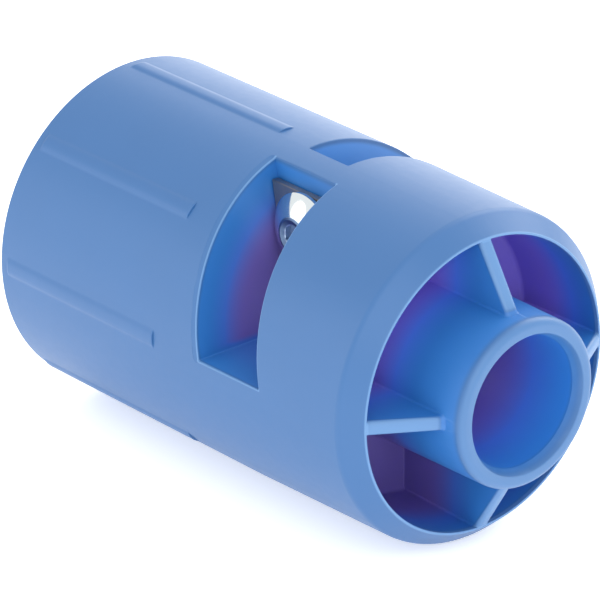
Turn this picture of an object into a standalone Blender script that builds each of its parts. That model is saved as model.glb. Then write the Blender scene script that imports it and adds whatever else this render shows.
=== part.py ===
"""Pipe deburring tool: a hollow moulded grip with a guide tube at its front, a blade screwed to the wall
of a tilted side pocket, and the screw's nut held in a narrower pocket behind that wall.

The tool lies on its side with its axis along X and the guide tube towards +X. The blade's pocket opens
towards -Y and the nut's pocket towards +Y, both on the upper half. Everything is modelled about the
tool's own axis and hung from one empty, which stands at half the tool's height. Units are metres.
"""

import math

import bmesh
import bpy
from mathutils import Matrix, Vector

MM = 0.001
FACETS = 80  # round the body and its bores
HOLE_FACETS = 32
HEAD_FACETS = 48

# Stations along the axis, from the middle of the tool's length
REAR_END = -43.0 * MM
RIDGE_REAR = -41.4 * MM
RIDGE_FRONT = -8.2 * MM
CAVITY_END = -7.0 * MM  # where the hollow of the grip stops
PIPE_STOP = 0.5 * MM  # where a pipe's end comes to rest
PARTING = 3.6 * MM  # widest station: both ends taper away from it
POCKET_FLOOR = 18.5 * MM  # bottom of the four pockets round the guide tube
BEVEL_START = 30.9 * MM
RING_END = 34.0 * MM
TUBE_END = 43.0 * MM

# Radii
RADIUS_REAR = 25.05 * MM
RADIUS_PARTING = 25.3 * MM
RADIUS_BEVEL = 25.0 * MM
EDGE_ROUND = 0.3 * MM
TUBE_LIP_ROUND = 1.2 * MM
CAVITY_RADIUS_MOUTH = 22.4 * MM
CAVITY_RADIUS_END = 21.8 * MM
RING_LIP_OUTER = 22.4 * MM
RING_LIP_INNER = 22.1 * MM
RING_ROOT_INNER = 21.6 * MM
TUBE_RADIUS = 12.7 * MM
TUBE_ROOT_RADIUS = 13.0 * MM
LEAD_IN_RADIUS = 10.6 * MM
LEAD_IN_DEPTH = 1.6 * MM
BORE_RADIUS = 9.9 * MM
BORE_ROOT_RADIUS = 9.75 * MM
INSIDE_FILLET = 0.8 * MM

# Grip ridges and the four ribs that hold the ring to the tube
RIDGES = 8
RIDGE_WIDTH = 2.7 * MM
RIDGE_HEIGHT = 0.3 * MM
RIDGE_SECTION = ((-1.0, 0.0), (-0.8, 0.65), (-0.5, 1.0), (0.5, 1.0), (0.8, 0.65), (1.0, 0.0))  # shares
FRONT_RIBS = 4
RIB_THICKNESS = 2.2 * MM
RIB_OUTER_STATION = 33.4 * MM
RIB_INNER_STATION = 40.4 * MM
BITE = 0.5 * MM  # how far one moulded shape runs into the next

# Blade pocket and nut pocket: both lean by the angle that the blade cuts on a pipe's end
LEAN = math.radians(11.6)
SLOT_CENTRE = 8.1 * MM  # station of both slots' centre line at the height of the tool's axis
BLADE_WALL_Y = -6.35 * MM
NUT_WALL_Y = -1.8 * MM
BLADE_SLOT_WIDTH = 12.8 * MM
NUT_SLOT_WIDTH = 8.15 * MM
NUT_SLOT_FLOOR = 10.9 * MM
CLEAR_OF_BODY = 32.0 * MM

# Blade, screw and nut
GAP = 0.2 * MM
BLADE_WIDTH = 12.3 * MM
BLADE_THICKNESS = 1.1 * MM
BLADE_TOP = 21.6 * MM
BLADE_EDGE = 5.4 * MM  # along the slot, from the height of the tool's axis
BLADE_GRIND = 1.6 * MM  # how far the ground bevel reaches up the blade
BLADE_EDGE_THICKNESS = 0.15 * MM
SCREW_HEIGHT = 15.9 * MM
SHANK_RADIUS = 2.45 * MM
SHANK_END_Y = 4.0 * MM
SHANK_CHAMFER = 0.5 * MM
CLEARANCE_RADIUS = 2.75 * MM
HEAD_RADIUS = 6.0 * MM
HEAD_RIM = 0.6 * MM
HEAD_DOME = 2.4 * MM
DOME_STEPS = 7
SOCKET_ACROSS = 3.2 * MM
SOCKET_DEPTH = 1.6 * MM
NUT_ACROSS = 7.8 * MM
NUT_THICKNESS = 4.0 * MM
NUT_CHAMFER = 0.4 * MM
NUT_BORE_RADIUS = 2.65 * MM


def body_radius(station):
    """Outer radius of the moulding: it tapers both ways from the parting station."""
    if station < PARTING:
        share = (PARTING - station) / (PARTING - REAR_END)
        return RADIUS_PARTING + share * (RADIUS_REAR - RADIUS_PARTING)
    share = (station - PARTING) / (BEVEL_START - PARTING)
    return RADIUS_PARTING + share * (RADIUS_BEVEL - RADIUS_PARTING)


AXIS_HEIGHT = body_radius(RIDGE_FRONT) + RIDGE_HEIGHT  # the tool lies on a ridge


def slot_station(across, height):
    """Station of a point of the leaning slots, from its distance off their centre line and its height."""
    return SLOT_CENTRE + across / math.cos(LEAN) - height * math.tan(LEAN)


def plastic(name, colour, roughness):
    return finish(name, colour, roughness, 0.0)


def steel(name, colour, roughness):
    return finish(name, colour, roughness, 1.0)


def finish(name, colour, roughness, metallic):
    material = bpy.data.materials.new(name)
    material.use_nodes = True
    shader = material.node_tree.nodes["Principled BSDF"]
    shader.inputs["Base Color"].default_value = (*colour, 1.0)
    shader.inputs["Roughness"].default_value = roughness
    shader.inputs["Metallic"].default_value = metallic
    return material


def object_from(name, mesh_data, parent, material=None):
    """Closes a bmesh into a named object hung from the tool's empty."""
    bmesh.ops.remove_doubles(mesh_data, verts=mesh_data.verts, dist=1e-7)
    bmesh.ops.recalc_face_normals(mesh_data, faces=mesh_data.faces)
    mesh = bpy.data.meshes.new(name)
    mesh_data.to_mesh(mesh)
    mesh_data.free()
    made = bpy.data.objects.new(name, mesh)
    bpy.context.scene.collection.objects.link(made)
    made.parent = parent
    if material:
        mesh.materials.append(material)
        mesh.shade_smooth()
        mesh.set_sharp_from_angle(angle=math.radians(28.0))
    return made


def spun(outline, facets=FACETS):
    """Turns a closed outline of (station, radius) about the X axis, with a facet's middle at the top."""
    mesh_data = bmesh.new()
    half_facet = math.pi / facets
    across, up = math.sin(half_facet), math.cos(half_facet)
    profile = [mesh_data.verts.new((station, radius * across, radius * up)) for station, radius in outline]
    for i in range(len(profile)):
        mesh_data.edges.new((profile[i - 1], profile[i]))
    bmesh.ops.spin(
        mesh_data,
        geom=mesh_data.verts[:] + mesh_data.edges[:],
        cent=(0, 0, 0),
        axis=(-1, 0, 0),
        angle=2 * math.pi,
        steps=facets,
    )
    return mesh_data


def prism(outline, low, high, axis):
    """Extrudes a closed outline of 3-D points from low to high along an axis."""
    mesh_data = bmesh.new()
    corners = [mesh_data.verts.new(Vector(point) + Vector(axis) * low) for point in outline]
    face = mesh_data.faces.new(corners)
    grown = bmesh.ops.extrude_face_region(mesh_data, geom=[face])
    moved = [item for item in grown["geom"] if isinstance(item, bmesh.types.BMVert)]
    bmesh.ops.translate(mesh_data, verts=moved, vec=Vector(axis) * (high - low))
    return mesh_data


def rod(radius, low, high, station, height, facets=HOLE_FACETS):
    """A cylinder along Y, at a station and a height above the tool's axis."""
    mesh_data = bmesh.new()
    stand = Matrix.Translation((station, (low + high) / 2, height)) @ Matrix.Rotation(math.pi / 2, 4, "X")
    bmesh.ops.create_cone(
        mesh_data,
        cap_ends=True,
        segments=facets,
        radius1=radius,
        radius2=radius,
        depth=high - low,
        matrix=stand,
    )
    return mesh_data


def combine(target, operation, helpers):
    """Adds the helpers to the target, or cuts them from it, in order."""
    for helper in helpers:
        helper.hide_render = True
        helper.display_type = "WIRE"
        step = target.modifiers.new(helper.name, "BOOLEAN")
        step.operation = operation
        step.solver = "EXACT"
        step.object = helper


def arc(centre, radius, first, last, steps):
    """Points of a rounded corner, as (station, radius) pairs, with both its ends."""
    points = []
    for i in range(steps + 1):
        angle = math.radians(first + (last - first) * i / steps)
        points.append((centre[0] + radius * math.cos(angle), centre[1] + radius * math.sin(angle)))
    return points


def body_outline():
    """Half section of the moulding before its pockets are cut, from the back of the pipe stop round."""
    f = INSIDE_FILLET
    e = EDGE_ROUND
    lip = TUBE_LIP_ROUND
    points = [(CAVITY_END, 0.0)]
    points += arc((CAVITY_END - f, CAVITY_RADIUS_END - f), f, 0, 90, 3)
    points.append((REAR_END, CAVITY_RADIUS_MOUTH))
    points += arc((REAR_END + e, RADIUS_REAR - e), e, 180, 90, 3)
    points.append((PARTING, RADIUS_PARTING))
    points.append((BEVEL_START, RADIUS_BEVEL))
    points.append((RING_END, RING_LIP_OUTER))
    points.append((RING_END, RING_LIP_INNER))
    points += arc((POCKET_FLOOR + f, RING_ROOT_INNER - f), f, 90, 180, 3)
    points += arc((POCKET_FLOOR + f, TUBE_ROOT_RADIUS + f), f, 180, 270, 3)
    points += arc((TUBE_END - lip, TUBE_RADIUS - lip), lip, 90, 0, 4)
    points.append((TUBE_END, LEAD_IN_RADIUS))
    points.append((TUBE_END - LEAD_IN_DEPTH, BORE_RADIUS))
    points.append((PIPE_STOP, BORE_ROOT_RADIUS))
    points.append((PIPE_STOP, 0.0))
    return points


def grip_ridge(index, tool):
    """One low flat-topped ridge along the grip, following its taper."""
    mesh_data = bmesh.new()
    turn = Matrix.Rotation(2 * math.pi * index / RIDGES, 4, "X")
    sections = []
    for station in (RIDGE_REAR, RIDGE_FRONT):
        base = body_radius(station)
        ring = [
            (station, side * RIDGE_WIDTH / 2, base + rise * RIDGE_HEIGHT) for side, rise in RIDGE_SECTION
        ]
        sunk = base - 2 * BITE
        ring.append((station, RIDGE_WIDTH / 2, sunk))
        ring.append((station, -RIDGE_WIDTH / 2, sunk))
        sections.append([mesh_data.verts.new(turn @ Vector(point)) for point in ring])
    rear, front = sections
    mesh_data.faces.new(rear)
    mesh_data.faces.new(front)
    for i in range(len(rear)):
        mesh_data.faces.new((rear[i - 1], rear[i], front[i], front[i - 1]))
    return object_from(f"grip_ridge_{index + 1}", mesh_data, tool)


def front_rib(index, tool):
    """One gusset between the ring and the guide tube: its front edge climbs forward to the tube."""
    outline = [
        (RIB_OUTER_STATION, 0.0, RING_LIP_INNER + BITE),
        (RIB_INNER_STATION, 0.0, TUBE_RADIUS - BITE),
        (POCKET_FLOOR - BITE, 0.0, TUBE_RADIUS - BITE),
        (POCKET_FLOOR - BITE, 0.0, RING_LIP_INNER + BITE),
    ]
    mesh_data = prism(outline, -RIB_THICKNESS / 2, RIB_THICKNESS / 2, (0, 1, 0))
    turn = Matrix.Rotation(2 * math.pi * index / FRONT_RIBS, 4, "X")
    bmesh.ops.transform(mesh_data, matrix=turn, verts=mesh_data.verts)
    return object_from(f"front_rib_{index + 1}", mesh_data, tool)


def slot_cutter(name, width, floor, near, far, tool):
    """A leaning side slot: parallel front and rear walls, a level floor, open at the top and one side."""
    half = width / 2
    outline = [
        (slot_station(-half, floor), 0.0, floor),
        (slot_station(half, floor), 0.0, floor),
        (slot_station(half, CLEAR_OF_BODY), 0.0, CLEAR_OF_BODY),
        (slot_station(-half, CLEAR_OF_BODY), 0.0, CLEAR_OF_BODY),
    ]
    return object_from(name, prism(outline, near, far, (0, 1, 0)), tool)


def tool_body(tool):
    blue = plastic("blue_plastic", (0.13, 0.30, 0.66), 0.42)
    body = object_from("tool_body", spun(body_outline()), tool, blue)
    combine(body, "UNION", [grip_ridge(i, tool) for i in range(RIDGES)])
    combine(body, "UNION", [front_rib(i, tool) for i in range(FRONT_RIBS)])
    screw_station = slot_station(0.0, SCREW_HEIGHT)
    hole = rod(CLEARANCE_RADIUS, BLADE_WALL_Y - BITE, NUT_WALL_Y + BITE, screw_station, SCREW_HEIGHT)
    cutters = [
        slot_cutter("blade_slot_cutter", BLADE_SLOT_WIDTH, 0.0, -CLEAR_OF_BODY, BLADE_WALL_Y, tool),
        slot_cutter("nut_slot_cutter", NUT_SLOT_WIDTH, NUT_SLOT_FLOOR, NUT_WALL_Y, CLEAR_OF_BODY, tool),
        object_from("screw_hole_cutter", hole, tool),
    ]
    combine(body, "DIFFERENCE", cutters)
    return body


def place_on_screw_axis(made, depth):
    """Moves an object's origin onto the screw's axis, at a depth along Y, and leaves its shape in place."""
    origin = Vector((slot_station(0.0, SCREW_HEIGHT), depth, SCREW_HEIGHT))
    made.data.transform(Matrix.Translation(-origin))
    made.location = origin
    return made


def cutter_blade(tool):
    """A flat blade that fills the slot's width, ground to an edge along its lower end."""
    half = BLADE_WIDTH / 2
    back = BLADE_WALL_Y - GAP
    face = back - BLADE_THICKNESS
    lean = Matrix.Rotation(-LEAN, 4, "Y")
    foot = Vector((SLOT_CENTRE, 0.0, 0.0))

    def corner(across, along, depth):
        return foot + lean @ Vector((across, depth, along))

    def top_corner(across, depth):
        return Vector((slot_station(across, BLADE_TOP), depth, BLADE_TOP))

    mesh_data = bmesh.new()
    ends = []
    for across in (-half, half):
        section = [
            corner(across, BLADE_EDGE, back),
            corner(across, BLADE_EDGE, back - BLADE_EDGE_THICKNESS),
            corner(across, BLADE_EDGE + BLADE_GRIND, face),
            top_corner(across, face),
            top_corner(across, back),
        ]
        ends.append([mesh_data.verts.new(point) for point in section])
    rear, front = ends
    mesh_data.faces.new(rear)
    mesh_data.faces.new(front)
    for i in range(len(rear)):
        mesh_data.faces.new((rear[i - 1], rear[i], front[i], front[i - 1]))
    blade = object_from("cutter_blade", mesh_data, tool, steel("blade_steel", (0.30, 0.30, 0.33), 0.35))
    place_on_screw_axis(blade, back)
    hole = rod(CLEARANCE_RADIUS, face - BITE, back + BITE, slot_station(0.0, SCREW_HEIGHT), SCREW_HEIGHT)
    combine(blade, "DIFFERENCE", [object_from("blade_hole_cutter", hole, tool)])
    return blade


def blade_screw(tool):
    """A screw with a wide domed head and a hexagon socket: a spun section standing on Y."""
    seat = BLADE_WALL_Y - 2 * GAP - BLADE_THICKNESS
    outline = [(SHANK_END_Y, 0.0), (SHANK_END_Y, SHANK_RADIUS - SHANK_CHAMFER)]
    outline += [(SHANK_END_Y - SHANK_CHAMFER, SHANK_RADIUS), (seat, SHANK_RADIUS), (seat, HEAD_RADIUS)]
    dome_radius = (HEAD_RADIUS**2 + HEAD_DOME**2) / (2 * HEAD_DOME)
    dome_centre = seat - HEAD_RIM - HEAD_DOME + dome_radius
    half_angle = math.asin(HEAD_RADIUS / dome_radius)
    for i in range(DOME_STEPS + 1):
        angle = half_angle * (1 - i / DOME_STEPS)
        outline.append((dome_centre - dome_radius * math.cos(angle), dome_radius * math.sin(angle)))
    mesh_data = spun(outline, HEAD_FACETS)
    stand = Matrix.Rotation(math.pi / 2, 4, "Z")
    bmesh.ops.transform(mesh_data, matrix=stand, verts=mesh_data.verts)
    lift = Vector((slot_station(0.0, SCREW_HEIGHT), 0.0, SCREW_HEIGHT))
    bmesh.ops.translate(mesh_data, verts=mesh_data.verts, vec=lift)
    screw = object_from("blade_screw", mesh_data, tool, steel("bright_zinc", (0.80, 0.82, 0.85), 0.12))
    place_on_screw_axis(screw, seat)
    apex = seat - HEAD_RIM - HEAD_DOME
    socket = rod(SOCKET_ACROSS / math.sqrt(3), apex - BITE, apex + SOCKET_DEPTH, lift.x, lift.z, 6)
    combine(screw, "DIFFERENCE", [object_from("socket_cutter", socket, tool)])
    return screw


def lock_nut(tool):
    """A hexagon nut whose flats lie against the walls of its slot, with its corners turned off."""
    low = NUT_WALL_Y + GAP
    station = slot_station(0.0, SCREW_HEIGHT)
    mesh_data = rod(NUT_ACROSS / math.sqrt(3), low, low + NUT_THICKNESS, station, SCREW_HEIGHT, 6)
    centre = Vector((station, 0.0, SCREW_HEIGHT))
    lean = Matrix.Rotation(-LEAN, 4, "Y")
    turn = Matrix.Translation(centre) @ lean @ Matrix.Translation(-centre)
    bmesh.ops.transform(mesh_data, matrix=turn, verts=mesh_data.verts)
    rims = [edge for edge in mesh_data.edges if abs(edge.verts[0].co.y - edge.verts[1].co.y) < 1e-6]
    bmesh.ops.bevel(mesh_data, geom=rims, offset=NUT_CHAMFER, segments=1, affect="EDGES")
    nut = object_from("lock_nut", mesh_data, tool, steel("nut_steel", (0.62, 0.63, 0.62), 0.3))
    place_on_screw_axis(nut, low)
    bore = rod(NUT_BORE_RADIUS, low - BITE, low + NUT_THICKNESS + BITE, station, SCREW_HEIGHT)
    combine(nut, "DIFFERENCE", [object_from("nut_bore_cutter", bore, tool)])
    return nut


def main():
    for old in list(bpy.data.objects):
        bpy.data.objects.remove(old, do_unlink=True)
    tool = bpy.data.objects.new("deburring_tool", None)
    tool.location = (0.0, 0.0, AXIS_HEIGHT)
    bpy.context.scene.collection.objects.link(tool)
    tool_body(tool)
    cutter_blade(tool)
    blade_screw(tool)
    lock_nut(tool)


main()
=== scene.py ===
"""Looks of the pipe deburring tool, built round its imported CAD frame.

The moulded body, the blade, the screw and the nut are made here as finer pieces, with the same places and
sizes as their CAD nodes: rounded window rims and rib edges, filleted pockets, a ground edge, threads and
turned chamfers. Lengths are in metres, and shapes are modelled about the tool's own axis, which runs along
X, then lifted to its height in the frame.
"""

import math

import bmesh
import bpy
from mathutils import Matrix, Vector


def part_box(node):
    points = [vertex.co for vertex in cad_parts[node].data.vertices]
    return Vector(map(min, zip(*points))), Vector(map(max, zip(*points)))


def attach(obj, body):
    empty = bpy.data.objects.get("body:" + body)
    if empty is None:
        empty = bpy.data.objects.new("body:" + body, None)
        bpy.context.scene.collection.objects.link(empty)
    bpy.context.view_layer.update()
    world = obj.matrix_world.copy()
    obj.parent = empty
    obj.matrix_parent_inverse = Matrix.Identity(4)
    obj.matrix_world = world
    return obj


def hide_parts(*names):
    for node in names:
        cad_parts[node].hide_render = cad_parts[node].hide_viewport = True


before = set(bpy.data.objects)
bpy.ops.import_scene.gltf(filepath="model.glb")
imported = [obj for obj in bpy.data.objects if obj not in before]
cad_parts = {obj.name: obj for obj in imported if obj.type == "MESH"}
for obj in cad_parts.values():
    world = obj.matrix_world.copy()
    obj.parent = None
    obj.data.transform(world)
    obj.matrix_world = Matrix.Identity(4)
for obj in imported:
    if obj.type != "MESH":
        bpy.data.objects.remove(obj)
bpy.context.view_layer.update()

MM = 0.001
BODY_LOW, BODY_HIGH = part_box("tool_body")
AXIS_HEIGHT = (BODY_LOW.z + BODY_HIGH.z) / 2
UP = Matrix.Translation((0, 0, AXIS_HEIGHT))

# Stations along the axis
REAR_END = BODY_LOW.x
TUBE_END = BODY_HIGH.x
RIDGE_REAR = REAR_END + 1.6 * MM
RIDGE_FRONT = -8.2 * MM
CAVITY_END = -7.0 * MM
PIPE_STOP = 0.5 * MM
PARTING = 3.6 * MM
POCKET_FLOOR = 18.5 * MM
BEVEL_START = 30.9 * MM
RING_END = 34.0 * MM

# Radii
RIDGE_HEIGHT = 0.3 * MM
RADIUS_REAR = 25.05 * MM
RADIUS_PARTING = 25.3 * MM
RADIUS_BEVEL = 25.0 * MM
CAVITY_RADIUS_MOUTH = 22.4 * MM
CAVITY_RADIUS_END = 21.8 * MM
RING_LIP_OUTER = 22.4 * MM
RING_LIP_INNER = 22.1 * MM
RING_ROOT_INNER = 21.6 * MM
TUBE_RADIUS = 12.7 * MM
TUBE_ROOT_RADIUS = 13.0 * MM
LEAD_IN_RADIUS = 10.6 * MM
LEAD_IN_DEPTH = 1.6 * MM
BORE_RADIUS = 9.9 * MM
BORE_ROOT_RADIUS = 9.75 * MM

# Grip ridges and front ribs
RIDGES = 8
RIDGE_WIDTH = 2.7 * MM
RIDGE_SPREAD = 1.4  # where a ridge's soft foot ends, in half widths of the ridge
RIDGE_SOFTNESS = 0.12  # how far the foot of a ridge blends into the grip, as a share of its height
FRONT_RIBS = 4
RIB_THICKNESS = 2.2 * MM
RIB_FILLET = 0.3 * MM
RIB_EDGE_ROUND = 0.75 * MM
RIB_OUTER = (33.4 * MM, 22.6 * MM)  # (station, radius) of the sloping front edge
RIB_INNER = (40.4 * MM, 12.2 * MM)
BITE = 0.5 * MM

# The two leaning side slots
LEAN = math.radians(11.6)
SLOT_CENTRE = 8.1 * MM
BLADE_WALL_Y = -6.35 * MM
NUT_WALL_Y = -1.8 * MM
BLADE_SLOT_WIDTH = 12.8 * MM
NUT_SLOT_WIDTH = 8.15 * MM
NUT_SLOT_FLOOR = 10.9 * MM
SLOT_CORNER = 0.25 * MM
RIM_ROUND = 0.18 * MM
REAR_RIM_ROUND = 0.12 * MM
REAR_RIM_WIDTH = 0.85 * MM  # the blade slot's rear edge has a shallow chamfer outside its rounding
REAR_RIM_DROP = 0.17 * MM
RIM_STEPS = 5
RIM_OVERLAP = 0.012 * MM  # how far a rim's cutter reaches under the surfaces that it rounds
RIM_HEADROOM = 0.6 * MM
CLEAR_OF_BODY = 32.0 * MM

# Blade, screw and nut
GAP = 0.2 * MM
BLADE_WIDTH = 12.3 * MM
BLADE_THICKNESS = 1.1 * MM
BLADE_TOP = 21.6 * MM
BLADE_EDGE = 5.4 * MM
BLADE_GRIND = 1.6 * MM
BLADE_EDGE_THICKNESS = 0.15 * MM
SCREW_HEIGHT = 15.9 * MM
CLEARANCE_RADIUS = 2.75 * MM
SHANK_RADIUS = 2.45 * MM
SHANK_END_Y = 4.0 * MM
HEAD_RADIUS = 6.0 * MM
HEAD_RIM = 0.6 * MM
HEAD_DOME = 2.4 * MM
SOCKET_ACROSS = 3.2 * MM
SOCKET_DEPTH = 1.6 * MM
THREAD_PITCH = 0.8 * MM
THREAD_DEPTH = 0.45 * MM
NUT_ACROSS = 7.8 * MM
NUT_THICKNESS = 4.0 * MM
NUT_BORE_RADIUS = 2.65 * MM
MOUTH_RADIUS = 2.9 * MM  # of the dished rim round the screw's socket
MOUTH_DEPTH = 0.45 * MM
MOUTH_EDGE = 0.25 * MM  # below the head's apex, where the dish starts
NUT_SINK = 0.45 * MM  # depth of the nut's countersinks
NUT_CHAMFER_ANGLE = math.radians(30.0)
HEAD_SEAT = BLADE_WALL_Y - 2 * GAP - BLADE_THICKNESS  # under the screw's head

SMOOTH_ANGLE = math.radians(32.0)


def body_radius(station):
    """Outer radius of the moulding, which tapers both ways from the parting station."""
    if station < PARTING:
        share = (PARTING - station) / (PARTING - REAR_END)
        return RADIUS_PARTING + share * (RADIUS_REAR - RADIUS_PARTING)
    share = (station - PARTING) / (BEVEL_START - PARTING)
    return RADIUS_PARTING + share * (RADIUS_BEVEL - RADIUS_PARTING)


def slot_station(across, height):
    return SLOT_CENTRE + across / math.cos(LEAN) - height * math.tan(LEAN)


SCREW_STATION = slot_station(0.0, SCREW_HEIGHT)


# ---------------------------------------------------------------- mesh helpers


def new_object(name, mesh_data):
    """Makes an object of a mesh, with doubled points merged and the edges that this leaves bare removed."""
    merge = 1e-7
    bmesh.ops.remove_doubles(mesh_data, verts=mesh_data.verts, dist=merge)
    loose = [edge for edge in mesh_data.edges if not edge.link_faces]
    bmesh.ops.delete(mesh_data, geom=loose, context="EDGES")
    bmesh.ops.recalc_face_normals(mesh_data, faces=mesh_data.faces)
    mesh = bpy.data.meshes.new(name)
    mesh_data.to_mesh(mesh)
    mesh_data.free()
    made = bpy.data.objects.new(name, mesh)
    bpy.context.scene.collection.objects.link(made)
    return made


def bridge(mesh_data, loops, closed_chain=False):
    """Quads between successive closed loops of vertices with the same count."""
    pairs = list(zip(loops, loops[1:]))
    if closed_chain:
        pairs.append((loops[-1], loops[0]))
    for first, second in pairs:
        count = len(first)
        for i in range(count):
            j = (i + 1) % count
            mesh_data.faces.new((first[i], first[j], second[j], second[i]))


def boolean(target, operation, helpers):
    """Adds the helpers to the target's mesh or cuts them from it, in order, and removes them."""
    for helper in helpers:
        step = target.modifiers.new(helper.name, "BOOLEAN")
        step.operation = operation
        step.solver = "EXACT"
        step.object = helper
    graph = bpy.context.evaluated_depsgraph_get()
    result = bpy.data.meshes.new_from_object(target.evaluated_get(graph))
    target.modifiers.clear()
    target.data = result
    for helper in helpers:
        bpy.data.objects.remove(helper, do_unlink=True)


def smooth(made):
    """Smooth shading with creases, and normals that follow the large faces."""
    made.data.shade_smooth()
    made.data.set_sharp_from_angle(angle=SMOOTH_ANGLE)
    weights = made.modifiers.new("normals", "WEIGHTED_NORMAL")
    weights.mode = "FACE_AREA"
    weights.weight = 50
    weights.keep_sharp = True


def rounded(corners, turn_step=math.radians(14.0)):
    """An outline through (u, v, radius) corners, with each corner of some radius turned into an arc."""
    points = []
    for i, (u, v, radius) in enumerate(corners):
        here = Vector((u, v))
        if radius == 0.0:
            points.append(here)
            continue
        before = (Vector(corners[i - 1][:2]) - here).normalized()
        after = (Vector(corners[(i + 1) % len(corners)][:2]) - here).normalized()
        half = before.angle(after) / 2
        middle = here + (before + after).normalized() * (radius / math.sin(half))
        first = here + before * (radius / math.tan(half)) - middle
        sweep = math.pi - 2 * half
        turn = math.copysign(sweep, after.cross(before))
        steps = max(2, math.ceil(sweep / turn_step))
        for k in range(steps + 1):
            angle = turn * k / steps
            c, s = math.cos(angle), math.sin(angle)
            points.append(middle + Vector((first.x * c - first.y * s, first.x * s + first.y * c)))
    return points


def prism(outline, low, high, axis):
    """Extrudes a closed outline of 3-D points from low to high along an axis."""
    mesh_data = bmesh.new()
    loops = []
    for level in (low, high):
        loops.append([mesh_data.verts.new(Vector(point) + Vector(axis) * level) for point in outline])
    bridge(mesh_data, loops)
    mesh_data.faces.new(loops[0])
    mesh_data.faces.new(loops[1])
    return mesh_data


def across_rod(name, radius, low, high, facets, turned=0.0):
    """A cylinder along Y round the screw's axis."""
    outline = []
    for i in range(facets):
        angle = 2 * math.pi * (i + 0.5) / facets + turned
        outline.append(
            (SCREW_STATION + radius * math.cos(angle), 0.0, SCREW_HEIGHT + radius * math.sin(angle))
        )
    return new_object(name, prism(outline, low, high, (0, 1, 0)))


# ---------------------------------------------------------------- moulded body


def ridge_rise(angle):
    """Height of the grip's surface over its plain radius: eight low lens-shaped ridges with soft feet."""
    pitch = 2 * math.pi / RIDGES
    off = (angle + pitch / 2) % pitch - pitch / 2
    side = 2 * off * RADIUS_REAR / RIDGE_WIDTH
    lens = 1 - abs(side) ** 3
    if abs(side) > RIDGE_SPREAD:
        return 0.0
    soft = (lens + math.hypot(lens, RIDGE_SOFTNESS)) / (1 + math.hypot(1, RIDGE_SOFTNESS))
    return RIDGE_HEIGHT * soft


def column_angles():
    """Angles of the lathe's columns: close together on the ridges, wider between them."""
    pitch = 2 * math.pi / RIDGES
    half = RIDGE_SPREAD * RIDGE_WIDTH / 2 / RADIUS_REAR
    on_ridge = [half * (2 * i / 16 - 1) for i in range(17)]
    between = [half + (pitch - 2 * half) * i / 14 for i in range(1, 14)]
    return [pitch * k + offset for k in range(RIDGES) for offset in on_ridge + between]


def body_rows():
    """Half section of the moulding, from the back of the pipe stop to its front: (station, radius, share).

    The share says how much of a ridge's height is there."""
    behind = rounded(
        [
            (CAVITY_END, 0.0, 0.0),
            (CAVITY_END, CAVITY_RADIUS_END, 0.8 * MM),
            (REAR_END, CAVITY_RADIUS_MOUTH, 0.35 * MM),
            (REAR_END, RADIUS_REAR, 0.3 * MM),
            (RIDGE_REAR, body_radius(RIDGE_REAR), 0.0),
        ]
    )
    ridge = [(RIDGE_REAR + 0.04 * MM, 0.6), (RIDGE_REAR + 0.2 * MM, 0.9), (RIDGE_REAR + 0.5 * MM, 1.0)]
    ridge += [(RIDGE_FRONT - 0.3 * MM, 1.0), (RIDGE_FRONT - 0.1 * MM, 0.95), (RIDGE_FRONT - 0.03 * MM, 0.75)]
    ahead = rounded(
        [
            (RIDGE_FRONT, body_radius(RIDGE_FRONT), 0.0),
            (PARTING, RADIUS_PARTING, 0.0),
            (BEVEL_START, RADIUS_BEVEL, 1.6 * MM),
            (RING_END, RING_LIP_OUTER, 0.12 * MM),
            (RING_END, RING_LIP_INNER, 0.12 * MM),
            (POCKET_FLOOR, RING_ROOT_INNER, 0.8 * MM),
            (POCKET_FLOOR, TUBE_ROOT_RADIUS, 0.8 * MM),
            (TUBE_END, TUBE_RADIUS, 1.2 * MM),
            (TUBE_END, LEAD_IN_RADIUS, 0.25 * MM),
            (TUBE_END - LEAD_IN_DEPTH, BORE_RADIUS, 0.2 * MM),
            (PIPE_STOP, BORE_ROOT_RADIUS, 0.3 * MM),
            (PIPE_STOP, 0.0, 0.0),
        ]
    )
    rows = [(point.x, point.y, 0.0) for point in behind]
    rows += [(station, body_radius(station), share) for station, share in ridge]
    return rows + [(point.x, point.y, 0.0) for point in ahead]


def lathe_body():
    mesh_data = bmesh.new()
    angles = column_angles()
    rise = [ridge_rise(angle) for angle in angles]
    rings = []
    for station, radius, share in body_rows():
        if radius == 0.0:
            rings.append([mesh_data.verts.new((station, 0.0, 0.0))])
            continue
        ring = []
        for angle, height in zip(angles, rise):
            reach = radius + share * height
            ring.append(mesh_data.verts.new((station, reach * math.sin(angle), reach * math.cos(angle))))
        rings.append(ring)
    bridge(mesh_data, rings[1:-1])
    for hub, rim in ((rings[0], rings[1]), (rings[-1], rings[-2])):
        for i in range(len(rim)):
            mesh_data.faces.new((hub[0], rim[i - 1], rim[i]))
    return new_object("tool_shell", mesh_data)


def flare(distance, radius):
    """How far a fillet of some radius stands out, at a distance from the surface that it runs into."""
    if distance >= radius:
        return 0.0
    return radius - math.sqrt(max(0.0, radius**2 - (radius - max(distance, 0.0)) ** 2))


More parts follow.
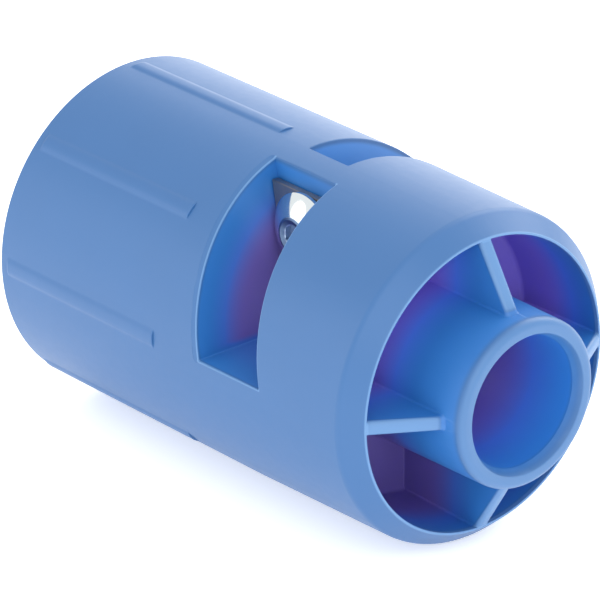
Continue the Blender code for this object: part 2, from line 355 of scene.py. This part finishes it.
def rib_section(mesh_data, share, turn):
    """One loop round a front rib, a share of the way from the guide tube to the ring."""
    gap = RING_ROOT_INNER - TUBE_ROOT_RADIUS
    from_tube = share * gap
    half = RIB_THICKNESS / 2 + flare(from_tube, RIB_FILLET) + flare(gap - from_tube, RIB_FILLET)
    run = (TUBE_ROOT_RADIUS + from_tube - RIB_INNER[1]) / (RIB_OUTER[1] - RIB_INNER[1])
    top = RIB_INNER[0] + run * (RIB_OUTER[0] - RIB_INNER[0])
    skirt = half + RIB_FILLET
    side = rounded(
        [
            (POCKET_FLOOR - BITE, 0.0, 0.0),
            (POCKET_FLOOR - BITE, skirt, 0.0),
            (POCKET_FLOOR - 0.02 * MM, skirt, 0.0),
            (POCKET_FLOOR - 0.02 * MM, half, RIB_FILLET),
            (top, half, RIB_EDGE_ROUND),
            (top, 0.0, 0.0),
        ],
        math.radians(18.0),
    )
    whole = side + [Vector((point.x, -point.y)) for point in reversed(side[1:-1])]
    loop = []
    for point in whole:
        along = (point.x - POCKET_FLOOR) / (TUBE_END - POCKET_FLOOR)
        near = TUBE_ROOT_RADIUS + along * (TUBE_RADIUS - TUBE_ROOT_RADIUS)
        along = (point.x - POCKET_FLOOR) / (RING_END - POCKET_FLOOR)
        far = RING_ROOT_INNER + along * (RING_LIP_INNER - RING_ROOT_INNER)
        reach = near + share * (far - near)
        place = Vector((point.x, point.y, math.sqrt(reach**2 - point.y**2)))
        loop.append(mesh_data.verts.new(turn @ place))
    return loop


def front_ribs():
    """Four gussets between the guide tube and the ring, with rounded front edges and filleted feet."""
    gap = RING_ROOT_INNER - TUBE_ROOT_RADIUS
    steps = 5
    feet = [RIB_FILLET * (1 - math.cos(math.pi / 2 * k / steps)) / gap for k in range(1, steps + 1)]
    shares = [-BITE / gap, -0.02 * MM / gap] + feet
    shares += [1 - share for share in reversed(shares)]
    mesh_data = bmesh.new()
    for k in range(FRONT_RIBS):
        turn = Matrix.Rotation(2 * math.pi * k / FRONT_RIBS, 4, "X")
        loops = [rib_section(mesh_data, share, turn) for share in shares]
        bridge(mesh_data, loops)
        mesh_data.faces.new(loops[0])
        mesh_data.faces.new(loops[-1])
    return new_object("front_ribs", mesh_data)


def slot_prism(name, width, floor, near, far):
    """A leaning side slot with parallel walls and filleted corners, open at the top and one side."""
    half = width / 2
    outline = rounded(
        [
            (slot_station(half, CLEAR_OF_BODY), CLEAR_OF_BODY, 0.0),
            (slot_station(-half, CLEAR_OF_BODY), CLEAR_OF_BODY, 0.0),
            (slot_station(-half, floor), floor, SLOT_CORNER),
            (slot_station(half, floor), floor, SLOT_CORNER),
        ],
        math.radians(23.0),
    )
    return new_object(name, prism([(u, 0.0, v) for u, v in outline], near, far, (0, 1, 0)))


def rim_profile(chamfered):
    """Section of a slot's rim as (spread, depth) pairs, from the slot's wall out to the outer surface."""
    radius = REAR_RIM_ROUND if chamfered else RIM_ROUND
    drop = REAR_RIM_DROP if chamfered else 0.0
    reach = REAR_RIM_WIDTH if chamfered else radius
    turns = [math.pi / 2 * k / RIM_STEPS for k in range(RIM_STEPS + 1)]
    pairs = [(radius * (1 - math.cos(turn)), drop + radius * (1 - math.sin(turn))) for turn in turns]
    pairs.append((radius + 0.8 * (reach - radius), 0.2 * drop))
    pairs.append((reach, 0.0))
    return pairs


def rim_loop(mesh_data, slot, step, lift):
    """One closed loop round a slot's mouth, at one step of its rim's section; lift moves it out of the body.

    Without a step, the loop runs inside the slot, clear of its walls."""
    side, width, wall, floor, chamfered = slot
    base = body_radius(SLOT_CENTRE)
    plain = rim_profile(False)
    rims = {"front": plain, "floor": plain, "wall": plain, "rear": rim_profile(chamfered)}

    def spread_depth(first, last, share):
        if step is None:
            deepest = first[0][1] + (last[0][1] - first[0][1]) * share
            return -0.9 * SLOT_CORNER, 1.2 * deepest if lift == 0.0 else 0.0
        near, far = first[step], last[step]
        return near[0] + (far[0] - near[0]) * share, near[1] + (far[1] - near[1]) * share

    def corner(edge_sign, at_floor):
        """Centre of a corner's arc, between the front (+1) or rear (-1) wall and the floor or inner wall."""
        if at_floor:
            turned = math.acos((floor + SLOT_CORNER) / base)
        else:
            turned = math.asin((wall + SLOT_CORNER) / base)
        height = base * math.cos(turned)
        return turned * base, slot_station(edge_sign * (width / 2 - SLOT_CORNER), height)

    def lean_angle(turned):
        return math.atan(math.sin(turned) * math.tan(LEAN))

    points = []

    def add_corner(edge_sign, at_floor, first, last, from_rim, to_rim):
        u, v = corner(edge_sign, at_floor)
        steps = 5
        for k in range(steps + 1):
            share = k / steps
            spread, depth = spread_depth(rims[from_rim], rims[to_rim], share)
            angle = first + (last - first) * share
            reach = SLOT_CORNER + spread
            points.append((u + reach * math.cos(angle), v + reach * math.sin(angle), depth))

    def add_wall(edge_sign, backwards, rim):
        first = corner(edge_sign, False)[0] / base
        last = corner(edge_sign, True)[0] / base
        spread, depth = spread_depth(rims[rim], rims[rim], 0.0)
        steps = 36
        shares = [k / steps for k in range(1, steps)]
        for share in reversed(shares) if backwards else shares:
            turned = first + (last - first) * share
            height = base * math.cos(turned)
            points.append((turned * base, slot_station(edge_sign * (width / 2 + spread), height), depth))

    at_wall = corner(1, False)[0] / base
    at_floor = corner(1, True)[0] / base
    quarter = math.pi / 2
    add_corner(1, False, math.pi, quarter + lean_angle(at_wall), "wall", "front")
    add_wall(1, False, "front")
    add_corner(1, True, quarter + lean_angle(at_floor), 0.0, "front", "floor")
    add_corner(-1, True, 0.0, -quarter + lean_angle(at_floor), "floor", "rear")
    add_wall(-1, True, "rear")
    add_corner(-1, False, -quarter + lean_angle(at_wall), -math.pi, "rear", "wall")
    loop = []
    for u, v, depth in points:
        reach = body_radius(v) - depth - RIM_OVERLAP + lift
        angle = u / base
        loop.append(mesh_data.verts.new((v, side * reach * math.sin(angle), reach * math.cos(angle))))
    return loop


def slot_rim(name, slot):
    """A ring-shaped cutter that rounds the edge where a slot breaks through the outer surface."""
    mesh_data = bmesh.new()
    outermost = len(rim_profile(False)) - 1
    loops = [rim_loop(mesh_data, slot, None, 0.0)]
    loops += [rim_loop(mesh_data, slot, step, 0.0) for step in range(outermost + 1)]
    loops.append(rim_loop(mesh_data, slot, outermost, RIM_HEADROOM))
    loops.append(rim_loop(mesh_data, slot, None, RIM_HEADROOM))
    bridge(mesh_data, loops, closed_chain=True)
    return new_object(name, mesh_data)


def tool_shell():
    shell = lathe_body()
    boolean(shell, "UNION", [front_ribs()])
    blade_slot = (-1, BLADE_SLOT_WIDTH, -BLADE_WALL_Y, 0.0, True)
    nut_slot = (1, NUT_SLOT_WIDTH, NUT_WALL_Y, NUT_SLOT_FLOOR, False)
    cutters = [
        slot_prism("blade_slot", BLADE_SLOT_WIDTH, 0.0, -CLEAR_OF_BODY, BLADE_WALL_Y),
        slot_prism("nut_slot", NUT_SLOT_WIDTH, NUT_SLOT_FLOOR, NUT_WALL_Y, CLEAR_OF_BODY),
        slot_rim("blade_slot_rim", blade_slot),
        slot_rim("nut_slot_rim", nut_slot),
        across_rod("screw_hole", CLEARANCE_RADIUS, BLADE_WALL_Y - BITE, NUT_WALL_Y + BITE, 48),
    ]
    boolean(shell, "DIFFERENCE", cutters)
    tidy = bmesh.new()
    tidy.from_mesh(shell.data)
    bmesh.ops.remove_doubles(tidy, verts=tidy.verts, dist=0.01 * MM)
    tidy.to_mesh(shell.data)
    tidy.free()
    return shell


# ---------------------------------------------------------------- blade, screw and nut


def leaning(across, along, depth):
    """A point given across and along the slots' lean from their foot on the axis, at a depth along Y."""
    lean = Matrix.Rotation(-LEAN, 4, "Y")
    return Vector((SLOT_CENTRE, 0.0, 0.0)) + lean @ Vector((across, depth, along))


def blade_plate():
    """A flat blade, ground to an edge along its lower end, with its sharp corners broken."""
    half = BLADE_WIDTH / 2
    back = BLADE_WALL_Y - GAP
    face = back - BLADE_THICKNESS
    mesh_data = bmesh.new()
    ends = []
    for across in (-half, half):
        section = [
            leaning(across, BLADE_EDGE, back),
            leaning(across, BLADE_EDGE, back - BLADE_EDGE_THICKNESS),
            leaning(across, BLADE_EDGE + BLADE_GRIND, face),
            Vector((slot_station(across, BLADE_TOP), face, BLADE_TOP)),
            Vector((slot_station(across, BLADE_TOP), back, BLADE_TOP)),
        ]
        ends.append([mesh_data.verts.new(point) for point in section])
    bridge(mesh_data, ends)
    mesh_data.faces.new(ends[0])
    mesh_data.faces.new(ends[1])
    kept_sharp = {ends[0][0], ends[1][0], ends[0][1], ends[1][1]}
    edges = [edge for edge in mesh_data.edges if not (set(edge.verts) & kept_sharp)]
    bmesh.ops.bevel(mesh_data, geom=edges, offset=0.08 * MM, segments=2, affect="EDGES")
    plate = new_object("blade_plate", mesh_data)
    boolean(plate, "DIFFERENCE", [across_rod("hole", CLEARANCE_RADIUS, face - BITE, back + BITE, 48)])
    return plate


def turned(name, outline, facets):
    """A closed (y, radius) outline turned round the screw's axis."""
    mesh_data = bmesh.new()
    loops = []
    for i in range(facets):
        angle = 2 * math.pi * i / facets
        c, s = math.cos(angle), math.sin(angle)
        places = [(SCREW_STATION + r * c, y, SCREW_HEIGHT + r * s) for y, r in outline]
        loops.append([mesh_data.verts.new(place) for place in places])
    bridge(mesh_data, loops, closed_chain=True)
    return new_object(name, mesh_data)


def thread(name, y_first, y_last, root, crest):
    """A closed V thread wound round the screw's axis: its ends run out into the root."""
    mesh_data = bmesh.new()
    facets = 48
    turns = (y_last - y_first) / THREAD_PITCH
    count = int(turns * facets)
    loops = []
    for i in range(count + 1):
        angle = 2 * math.pi * i / facets
        run_out = min(1.0, i / facets * 2, (count - i) / facets * 2)
        reach = root + (crest - root) * run_out
        y = y_first + THREAD_PITCH * i / facets
        profile = [(-0.42, root), (-0.08, reach), (0.08, reach), (0.42, root)]
        inward = math.copysign(0.12 * MM, root - crest)
        profile += [(0.42, root + inward), (-0.42, root + inward)]
        c, s = math.cos(angle), math.sin(angle)
        loops.append(
            [
                mesh_data.verts.new((SCREW_STATION + r * c, y + along * THREAD_PITCH, SCREW_HEIGHT + r * s))
                for along, r in profile
            ]
        )
    bridge(mesh_data, loops)
    mesh_data.faces.new(loops[0])
    mesh_data.faces.new(loops[-1])
    return new_object(name, mesh_data)


def screw_piece():
    """The screw: wide domed head with a hexagon socket, plain neck and threaded shank."""
    seat = HEAD_SEAT
    dome_radius = (HEAD_RADIUS**2 + HEAD_DOME**2) / (2 * HEAD_DOME)
    dome_centre = seat - HEAD_RIM - HEAD_DOME + dome_radius
    half_angle = math.asin(HEAD_RADIUS / dome_radius)
    root = SHANK_RADIUS - THREAD_DEPTH
    outline = rounded(
        [
            (SHANK_END_Y, 0.0, 0.0),
            (SHANK_END_Y, root - 0.3 * MM, 0.0),
            (SHANK_END_Y - 0.5 * MM, root, 0.0),
            (BLADE_WALL_Y + 1.6 * MM, root, 0.0),
            (BLADE_WALL_Y + 1.2 * MM, SHANK_RADIUS, 0.0),
            (seat, SHANK_RADIUS, 0.0),
            (seat, HEAD_RADIUS, 0.12 * MM),
            (seat - HEAD_RIM, HEAD_RADIUS, 0.0),
        ]
    )
    steps = 20
    for i in range(1, steps + 1):
        angle = half_angle * (1 - i / steps)
        outline.append(
            Vector((dome_centre - dome_radius * math.cos(angle), dome_radius * math.sin(angle)))
        )
    outline = [(p.x, p.y) for p in outline]
    screw = turned("screw_polished", outline, 96)
    apex = seat - HEAD_RIM - HEAD_DOME
    reach = SOCKET_ACROSS / math.sqrt(3)
    socket = across_rod("socket", reach, apex - BITE, apex + SOCKET_DEPTH, 6)
    edge = apex + MOUTH_EDGE
    dish = [
        (apex - BITE, 0.0),
        (apex - BITE, MOUTH_RADIUS),
        (edge, MOUTH_RADIUS - 0.1 * MM),
        (edge + MOUTH_DEPTH, reach - 0.2 * MM),
        (edge + MOUTH_DEPTH, 0.0),
    ]
    mouth = turned("socket_mouth", dish, 48)
    boolean(screw, "DIFFERENCE", [socket, mouth])
    coil = thread("coil", BLADE_WALL_Y + 1.7 * MM, SHANK_END_Y - 0.6 * MM, root, SHANK_RADIUS)
    boolean(screw, "UNION", [coil])
    return screw


def nut_piece():
    """A hexagon nut whose flats face the slot's walls, with turned corners and a countersunk hole."""
    low = NUT_WALL_Y + GAP
    high = low + NUT_THICKNESS
    corner = NUT_ACROSS / math.sqrt(3)
    nut = across_rod("nut_machined", corner, low, high, 6, LEAN)
    round_off = (corner - NUT_ACROSS / 2) * 1.05
    slope = round_off * math.tan(NUT_CHAMFER_ANGLE)
    past = 0.3 * MM  # the turning ends clear of the nut's two faces
    tip = NUT_ACROSS / 2 - past / math.tan(NUT_CHAMFER_ANGLE)
    outline = [(low - past, 0.0), (low - past, tip)]
    outline += [(low + slope, corner + 0.02 * MM), (high - slope, corner + 0.02 * MM)]
    outline += [(high + past, tip), (high + past, 0.0)]
    boolean(nut, "INTERSECT", [turned("turning", outline, 96)])
    wide = NUT_BORE_RADIUS + 2 * NUT_SINK
    hole = [(low - NUT_SINK, 0.0), (low - NUT_SINK, wide), (low + NUT_SINK, NUT_BORE_RADIUS)]
    hole += [(high - NUT_SINK, NUT_BORE_RADIUS), (high + NUT_SINK, wide), (high + NUT_SINK, 0.0)]
    boolean(nut, "DIFFERENCE", [turned("tapped_hole", hole, 48)])
    return nut


# ---------------------------------------------------------------- materials


class Nodes:
    """A small helper that adds shader nodes to one material and links them."""

    def __init__(self, name):
        self.material = bpy.data.materials.new(name)
        self.material.use_nodes = True
        self.tree = self.material.node_tree
        self.shader = self.tree.nodes["Principled BSDF"]
        self.place = self.add("ShaderNodeTexCoord").outputs["Object"]

    def add(self, kind, links=(), **settings):
        node = self.tree.nodes.new(kind)
        for key, value in settings.items():
            setattr(node, key, value)
        for slot, value in dict(links).items():
            self.feed(node.inputs[slot], value)
        return node

    def feed(self, socket, value):
        if isinstance(value, bpy.types.NodeSocket):
            self.tree.links.new(value, socket)
        else:
            socket.default_value = value

    def math(self, operation, first, second=0.0):
        return self.add("ShaderNodeMath", {0: first, 1: second}, operation=operation).outputs[0]

    def line(self, value, factor, offset):
        """The value times a factor, plus an offset."""
        links = {0: value, 1: factor, 2: offset}
        return self.add("ShaderNodeMath", links, operation="MULTIPLY_ADD").outputs[0]

    def distance(self, first, second):
        """The length of the vector that two values make."""
        squares = [self.math("POWER", value, 2.0) for value in (first, second)]
        return self.math("SQRT", self.math("ADD", *squares))

    def product(self, *values):
        result = values[0]
        for value in values[1:]:
            result = self.math("MULTIPLY", result, value)
        return result

    def greatest(self, *values):
        result = values[0]
        for value in values[1:]:
            result = self.math("MAXIMUM", result, value)
        return result

    def mix(self, share, first, second):
        """One colour blended into another by a share."""
        node = self.add("ShaderNodeMix", data_type="RGBA")
        for name, value in (("Factor", share), ("A", first), ("B", second)):
            socket = next(item for item in node.inputs if item.enabled and item.name == name)
            self.feed(socket, value)
        return next(item for item in node.outputs if item.enabled)

    def span(self, value, start, end, low=0.0, high=1.0):
        """Maps value from start..end to low..high, smoothly and clamped."""
        links = {"Value": value, "From Min": start, "From Max": end, "To Min": low, "To Max": high}
        return self.add("ShaderNodeMapRange", links, interpolation_type="SMOOTHSTEP").outputs["Result"]

    def noise(self, scale, detail=2.0, stretch=None):
        place = self.place
        if stretch:
            place = self.add("ShaderNodeMapping", {"Vector": place, "Scale": stretch}).outputs[0]
        links = {"Vector": place, "Scale": scale, "Detail": detail}
        return self.add("ShaderNodeTexNoise", links).outputs["Fac"]

    def bump(self, height, distance, strength):
        links = {"Height": height, "Distance": distance, "Strength": strength}
        node = self.add("ShaderNodeBump", links)
        self.tree.links.new(node.outputs["Normal"], self.shader.inputs["Normal"])

    def link(self, output, socket):
        self.tree.links.new(output, self.shader.inputs[socket])

    def set(self, **values):
        for key, value in values.items():
            self.shader.inputs[key.replace("_", " ")].default_value = value


OUTER_BLUE = (0.030, 0.124, 0.320, 1.0)  # the blue plastic's own colour; the four colours after it are painted light, shade and highlight
# A lighter, more saturated copy of the plastic, painted on the walls of hollows as painted light against
# their shade.
HOLLOW_PAINTED_LIGHT_BLUE = (0.022, 0.155, 0.460, 1.0)
# Painted shade further down the hollows: blue, then violet.
PAINTED_SHADE_BLUE = (0.052, 0.155, 0.540, 1.0)
PAINTED_SHADE_VIOLET = (0.155, 0.115, 0.420, 1.0)
# Painted highlight on thin rims.
PAINTED_HIGHLIGHT_BLUE = (0.160, 0.330, 0.600, 1.0)
SLOT_SHADE = (25.05 * MM, 24.3 * MM)  # radii between which a slot's walls turn to the painted-light hollow colour
SLOT_DEEP = (23.2 * MM, 16.0 * MM)  # radii between which they turn to the painted shade colours
RIM_BAND = (0.25 * MM, 0.10 * MM)  # how far from a slot's edge its painted highlight fades out
RIM_RADII = (24.85 * MM, 24.95 * MM)
CAVITY_DEEP = -15.0 * MM


def moulded_blue():
    """Satin blue plastic, chalky outside, with painted light and shade down every hollow and painted
    highlights on thin rims.
    """
    kit = Nodes("moulded_blue")
    axes = kit.add("ShaderNodeSeparateXYZ", {0: kit.place}).outputs
    station = axes["X"]
    height = kit.math("SUBTRACT", axes["Z"], AXIS_HEIGHT)
    radius = kit.distance(axes["Y"], height)

    # Masks for where the hollows take painted light and shade: the pockets, the bore, the side slots and the
    # rear cavity.
    in_pockets = kit.product(
        kit.span(station, POCKET_FLOOR - 1.1 * MM, POCKET_FLOOR - 0.3 * MM),
        kit.span(radius, RING_LIP_OUTER, RING_LIP_INNER - 0.1 * MM),
        kit.span(radius, LEAD_IN_RADIUS + 0.2 * MM, LEAD_IN_RADIUS + 0.5 * MM),
    )
    rib_run = (RIB_INNER[0] - RIB_OUTER[0]) / (RIB_OUTER[1] - RIB_INNER[1])
    rib_edge = kit.line(radius, -rib_run, RIB_OUTER[0] + rib_run * RIB_OUTER[1])
    behind_ribs = kit.span(kit.math("SUBTRACT", station, rib_edge), -0.15 * MM, -1.0 * MM)
    behind_lip = kit.product(
        kit.span(station, TUBE_END - 0.8 * MM, TUBE_END - 2.0 * MM),
        kit.span(radius, TUBE_ROOT_RADIUS + 0.5 * MM, TUBE_ROOT_RADIUS + 0.1 * MM),
    )
    pockets_shade = kit.product(in_pockets, kit.math("MAXIMUM", behind_ribs, behind_lip))
    pockets_deep = kit.product(in_pockets, kit.span(station, RING_END, POCKET_FLOOR + 5.0 * MM))

    in_bore = kit.product(
        kit.span(radius, LEAD_IN_RADIUS - 0.1 * MM, BORE_RADIUS + 0.1 * MM),
        kit.span(station, -3.0 * MM, -1.0 * MM),
    )
    lead_in_end = TUBE_END - LEAD_IN_DEPTH
    bore_shade = kit.product(in_bore, kit.span(station, lead_in_end + 0.3 * MM, lead_in_end - 0.7 * MM))
    bore_deep = kit.product(in_bore, kit.span(station, lead_in_end - 1.0 * MM, POCKET_FLOOR + 7.0 * MM))

    beside_slots = kit.product(
        kit.span(station, POCKET_FLOOR - 0.5 * MM, POCKET_FLOOR - 1.5 * MM),
        kit.span(station, CAVITY_END + 1.0 * MM, CAVITY_END + 2.0 * MM),
    )
    blade_side = kit.span(axes["Y"], -3.0 * MM, -5.0 * MM)
    # The slot's floor faces up and takes less of the painted shade.
    off_floor = kit.span(height, 0.0, 1.2 * MM, 0.3, 1.0)
    in_slots = kit.product(beside_slots, kit.span(radius, *SLOT_SHADE))
    slots_shade = kit.product(in_slots, blade_side)
    slots_deep = kit.product(beside_slots, blade_side, off_floor, kit.span(radius, *SLOT_DEEP))

    in_cavity = kit.product(
        kit.span(radius, CAVITY_RADIUS_MOUTH + 0.4 * MM, CAVITY_RADIUS_MOUTH),
        kit.span(station, CAVITY_END + 2.0 * MM, CAVITY_END + 1.0 * MM),
    )
    cavity_shade = kit.product(in_cavity, kit.span(station, REAR_END, REAR_END + 1.5 * MM))
    cavity_deep = kit.product(in_cavity, kit.span(station, REAR_END + 2.0 * MM, CAVITY_DEEP))

    shade = kit.greatest(pockets_shade, bore_shade, slots_shade, cavity_shade)
    deep = kit.greatest(pockets_deep, bore_deep, slots_deep, cavity_deep)
    # Painted highlights on thin rims: along the blade slot's edges, the ring's lip, the ribs' front edges
    # and the tube's lip.
    across = kit.math("ADD", kit.line(height, math.tan(LEAN), -SLOT_CENTRE), station)
    across = kit.math("MULTIPLY", across, math.cos(LEAN))
    off_wall = kit.math("SUBTRACT", kit.math("ABSOLUTE", across), BLADE_SLOT_WIDTH / 2)
    near_wall = kit.span(kit.math("ABSOLUTE", off_wall), *RIM_BAND)
    near_floor = kit.span(kit.math("ABSOLUTE", height), *RIM_BAND)
    on_walls = kit.product(near_wall, kit.span(height, -0.2 * MM, 0.0))
    on_floor = kit.product(near_floor, kit.span(off_wall, 0.1 * MM, 0.0))
    slot_rim = kit.product(
        kit.span(radius, *RIM_RADII),
        kit.span(axes["Y"], -6.0 * MM, -6.2 * MM),
        kit.greatest(on_walls, on_floor),
    )
    ring_lip_highlight = kit.product(
        kit.span(station, RING_END - 0.3 * MM, RING_END - 0.05 * MM),
        kit.span(radius, RING_LIP_OUTER + 0.2 * MM, RING_LIP_OUTER),
        kit.span(radius, RING_LIP_INNER - 0.3 * MM, RING_LIP_INNER - 0.1 * MM),
    )
    off_edge = kit.math("ABSOLUTE", kit.math("SUBTRACT", station, rib_edge))
    rib_front_highlights = kit.product(
        in_pockets,
        kit.span(off_edge, 0.6 * MM, 0.3 * MM),
        kit.span(radius, TUBE_ROOT_RADIUS + 0.2 * MM, TUBE_ROOT_RADIUS + 0.8 * MM),
        0.75,
    )
    tube_lip_highlight = kit.product(
        kit.span(radius, TUBE_ROOT_RADIUS + 0.6 * MM, TUBE_ROOT_RADIUS),
        kit.span(station, TUBE_END - 1.0 * MM, TUBE_END - 0.2 * MM),
        0.35,
    )
    rims = kit.math("MULTIPLY", kit.greatest(slot_rim, ring_lip_highlight, rib_front_highlights, tube_lip_highlight), 0.6)

    # Painted light and shade in the hollows: their walls take a lighter copy of the plastic, which turns to
    # painted blue and then violet shade the deeper they lie.
    ramp = kit.add("ShaderNodeValToRGB", {0: deep})
    ramp.color_ramp.elements[0].color = HOLLOW_PAINTED_LIGHT_BLUE
    ramp.color_ramp.elements[1].color = PAINTED_SHADE_VIOLET
    ramp.color_ramp.elements.new(0.45).color = PAINTED_SHADE_BLUE
    colour = kit.mix(shade, OUTER_BLUE, ramp.outputs["Color"])
    # The rims are lightened by the painted highlight.
    colour = kit.mix(rims, colour, PAINTED_HIGHLIGHT_BLUE)
    patchy = kit.span(kit.noise(90.0, 3.0), 0.3, 0.7, 0.99, 1.01)
    # Painted light: the upper pockets, the bore and the nut's slot are brightened, over a faint random
    # mottle of tone.
    upper_pockets = kit.product(pockets_deep, kit.span(height, -3.0 * MM, 5.0 * MM))
    nut_side = kit.product(in_slots, kit.math("SUBTRACT", 1.0, blade_side))
    painted_light_and_mottle = kit.line(upper_pockets, 0.7, kit.line(in_bore, 0.35, kit.line(nut_side, 0.8, patchy)))
    colour_with_painted_light = kit.add("ShaderNodeVectorMath", {0: colour, "Scale": painted_light_and_mottle}, operation="SCALE")
    kit.link(colour_with_painted_light.outputs["Vector"], "Base Color")
    kit.link(kit.span(kit.noise(700.0, 3.0), 0.35, 0.65, 0.43, 0.45), "Roughness")
    kit.bump(kit.noise(4500.0, 2.0), 0.01 * MM, 0.25)
    kit.set(IOR=1.5, Specular_IOR_Level=0.6)
    return kit.material


HEAD_ZINC = (0.66, 0.71, 0.73, 1.0)
# Painted shade and a painted reflection of the blue body inside the screw's socket: darker and bluer on its
# floor, darkest in its dished mouth.
SOCKET_FLOOR_PAINTED_SHADE = (0.38, 0.48, 0.62, 1.0)
SOCKET_DISH_PAINTED_SHADE = (0.12, 0.18, 0.29, 1.0)


def bright_zinc():
    """Polished zinc with a faint bump and a little haze, rougher inside the socket, where its colour is
    painted shade and a painted reflection of the blue body.
    """
    kit = Nodes("bright_zinc_plate")
    axes = kit.add("ShaderNodeSeparateXYZ", {0: kit.place}).outputs
    across = kit.math("SUBTRACT", axes["X"], SCREW_STATION)
    along = kit.math("SUBTRACT", axes["Z"], AXIS_HEIGHT + SCREW_HEIGHT)
    off_axis = kit.distance(across, along)
    in_head = kit.span(axes["Y"], HEAD_SEAT - 0.5 * MM, HEAD_SEAT - 0.7 * MM)
    socket = kit.product(in_head, kit.span(off_axis, MOUTH_RADIUS + 0.05 * MM, MOUTH_RADIUS - 0.1 * MM))
    in_dish = kit.span(off_axis, 1.75 * MM, 1.9 * MM)
    # The socket's colour is painted shade and a painted reflection of the blue body.
    socket_painted_shade = kit.mix(in_dish, SOCKET_FLOOR_PAINTED_SHADE, SOCKET_DISH_PAINTED_SHADE)
    kit.link(kit.mix(socket, HEAD_ZINC, socket_painted_shade), "Base Color")
    haze = kit.span(kit.noise(900.0, 3.0), 0.3, 0.7, 0.07, 0.14)
    kit.link(kit.line(socket, 0.25, haze), "Roughness")
    kit.bump(kit.noise(300.0, 2.0), 0.02 * MM, 0.15)
    kit.set(Metallic=1.0)
    return kit.material


def blade_steel():
    """Dark hardened steel with grinding marks across the blade."""
    kit = Nodes("dark_blade_steel")
    grain = kit.noise(900.0, 4.0, (1.0, 6.0, 0.05))
    stains = kit.noise(260.0, 3.0)
    ramp = kit.add("ShaderNodeValToRGB", {0: stains})
    ramp.color_ramp.elements[0].color = (0.27, 0.26, 0.27, 1.0)
    ramp.color_ramp.elements[1].color = (0.44, 0.40, 0.38, 1.0)
    kit.link(ramp.outputs["Color"], "Base Color")
    kit.link(kit.span(grain, 0.3, 0.7, 0.28, 0.42), "Roughness")
    kit.bump(grain, 0.01 * MM, 0.4)
    kit.set(Metallic=1.0)
    return kit.material


def nut_zinc():
    """Duller zinc plate with a fine mottle."""
    kit = Nodes("nut_zinc_plate")
    kit.set(Metallic=1.0)
    ramp = kit.add("ShaderNodeValToRGB", {0: kit.noise(500.0, 4.0)})
    ramp.color_ramp.elements[0].color = (0.50, 0.51, 0.50, 1.0)
    ramp.color_ramp.elements[1].color = (0.68, 0.68, 0.66, 1.0)
    kit.link(ramp.outputs["Color"], "Base Color")
    kit.link(kit.span(kit.noise(1200.0, 3.0), 0.3, 0.7, 0.24, 0.38), "Roughness")
    kit.bump(kit.noise(2500.0, 2.0), 0.01 * MM, 0.3)
    return kit.material


# ---------------------------------------------------------------- pieces on their bodies


def finish_piece(piece, material, node, body):
    piece.data.transform(UP)
    piece.data.materials.clear()
    piece.data.materials.append(material)
    smooth(piece)
    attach(piece, body)
    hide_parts(node)


finish_piece(tool_shell(), moulded_blue(), "tool_body", "body")
finish_piece(blade_plate(), blade_steel(), "cutter_blade", "blade")
finish_piece(screw_piece(), bright_zinc(), "blade_screw", "screw")
finish_piece(nut_piece(), nut_zinc(), "lock_nut", "nut")


# ---------------------------------------------------------------- floor, light and camera


def pale_floor():
    """A plain table that glows a little, so that it stays almost white beside the tool's soft shadow."""
    mesh_data = bmesh.new()
    bmesh.ops.create_grid(mesh_data, x_segments=1, y_segments=1, size=6.0)
    floor = new_object("floor", mesh_data)
    material = bpy.data.materials.new("pale_floor")
    material.use_nodes = True
    shader = material.node_tree.nodes["Principled BSDF"]
    shader.inputs["Base Color"].default_value = (0.92, 0.92, 0.92, 1.0)
    shader.inputs["Emission Color"].default_value = (1.0, 1.0, 1.0, 1.0)
    shader.inputs["Emission Strength"].default_value = 0.48
    shader.inputs["Roughness"].default_value = 0.9
    shader.inputs["Specular IOR Level"].default_value = 0.1
    floor.data.materials.append(material)


def soft_light(name, place, target, size, power):
    light = bpy.data.lights.new(name, "AREA")
    light.shape = "DISK"
    light.size = size
    light.energy = power
    lamp = bpy.data.objects.new(name, light)
    bpy.context.scene.collection.objects.link(lamp)
    lamp.location = place
    lamp.rotation_mode = "QUATERNION"
    lamp.rotation_quaternion = (Vector(target) - Vector(place)).to_track_quat("-Z", "Y")


def white_studio():
    world = bpy.data.worlds.new("studio")
    world.use_nodes = True
    background = world.node_tree.nodes["Background"]
    background.inputs["Color"].default_value = (1.0, 1.0, 1.0, 1.0)
    background.inputs["Strength"].default_value = 1.15
    bpy.context.scene.world = world
    centre = (0.0, 0.0, AXIS_HEIGHT)
    soft_light("back_softbox", (-0.05, 0.50, 0.38), centre, 0.5, 2.0)
    soft_light("sheen_softbox", (-0.43, 0.40, 0.17), centre, 0.45, 0.6)
    soft_light("side_softbox", (-0.35, -0.50, 0.22), centre, 0.4, 0.45)
    soft_light("front_softbox", (0.55, -0.35, 0.45), centre, 0.8, 1.8)


def camera():
    data = bpy.data.cameras.new("camera")
    data.sensor_width = 36.0
    data.lens = 390.8  # a long lens from about a metre away
    made = bpy.data.objects.new("camera", data)
    bpy.context.scene.collection.objects.link(made)
    made.location = (0.638, -0.563, AXIS_HEIGHT + 0.391)
    made.rotation_mode = "QUATERNION"
    made.rotation_quaternion = Vector((-0.6842, 0.5988, -0.4164)).to_track_quat("-Z", "Y")
    bpy.context.scene.camera = made


pale_floor()
white_studio()
camera()
bpy.context.scene.view_settings.view_transform = "Standard"
